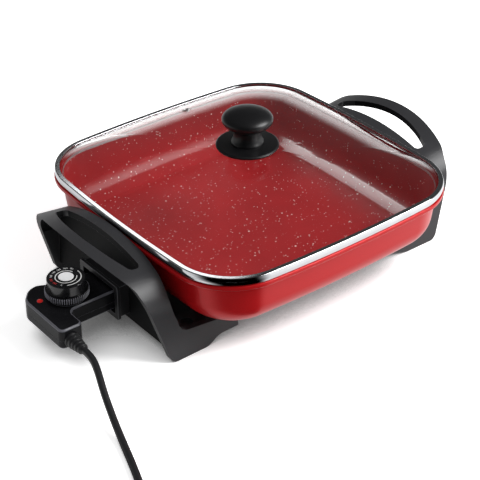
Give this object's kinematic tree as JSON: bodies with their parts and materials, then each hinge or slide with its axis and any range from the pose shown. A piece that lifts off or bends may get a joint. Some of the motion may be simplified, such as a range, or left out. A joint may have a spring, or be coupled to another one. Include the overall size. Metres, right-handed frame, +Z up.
{
  "type": "electric skillet",
  "caption": "Square electric skillet with a lift-off domed glass lid, arched handles that are also legs, and a plug-in probe thermostat with a dial, lamp and cord.",
  "frame": {"origin": "on the worktop, under the middle of the object's plan box without its cord", "axes": "+X from the control towards the plain handle, +Y to the back, +Z up"},
  "size_m": [0.5066, 0.5138, 0.157],
  "materials": {
    "red_enamel": "glossy red enamel outside, speckled red non-stick inside",
    "element_steel": "heat-darkened sheath",
    "ceramic": "unglazed ceramic",
    "plated_steel": "bright plated",
    "phenolic_black": "satin moulded",
    "guard_black": "satin moulded",
    "lid_glass": "clear, polished",
    "rim_chrome": "polished",
    "knob_black": "satin moulded",
    "seal_rubber": "matte",
    "control_black": "polished moulded",
    "contact_brass": "bright",
    "insulation": "moulded",
    "dial_black": "satin, with plain white numbers",
    "dial_disc": "spun",
    "lamp_red": "clear red lens",
    "lamp_glass": "clear",
    "cord_black": "smooth sheath",
    "tie_black": "paper-covered wire",
    "plug_black": "satin moulded"
  },
  "bodies": {
    "skillet": {"pan": "red_enamel", "heating_element": "element_steel", "terminal_bushes": "ceramic", "terminal_pins": "plated_steel", "right_handle": "phenolic_black", "left_handle": "phenolic_black", "leg_screws": "plated_steel", "socket_guard": "guard_black", "guard_screws": "plated_steel"},
    "lid": {"lid_glass": "lid_glass", "lid_rim": "rim_chrome", "vent_eyelet": "rim_chrome", "knob_base": "knob_black", "lid_knob": "knob_black", "knob_gasket": "seal_rubber", "knob_washer": "plated_steel", "knob_screw": "plated_steel"},
    "control": {"housing_top": "control_black", "housing_base": "control_black", "housing_screws": "plated_steel", "contact_block": "insulation", "contact_sleeves": "contact_brass", "probe_tube": "plated_steel", "thermostat_frame": "plated_steel", "blade_stack": "insulation", "bimetal_blade": "contact_brass", "pilot_lens": "lamp_red", "neon_lamp": "lamp_glass", "strain_relief": "cord_black", "cord_lead": "cord_black", "cord_coil": "cord_black", "cord_tie": "tie_black", "cord_tail": "cord_black", "plug_body": "plug_black", "plug_pins": "contact_brass"},
    "dial": {"dial_shaft": "plated_steel", "dial_knob": "dial_black", "dial_cap": "dial_disc"}
  },
  "joints": [
    {"name": "lid_lift", "type": "slide", "parent": "skillet", "child": "lid", "axis": [0, 0, 1], "range_m": [0, 0.15]},
    {"name": "control_pull", "type": "slide", "parent": "skillet", "child": "control", "axis": [-1, 0, 0], "range_m": [0, 0.125]},
    {"name": "dial_turn", "type": "hinge", "parent": "control", "child": "dial", "pos_m": [-0.1855, 0, 0.05], "axis": [0, 0, 1], "range_deg": [0, 290]}
  ]
}
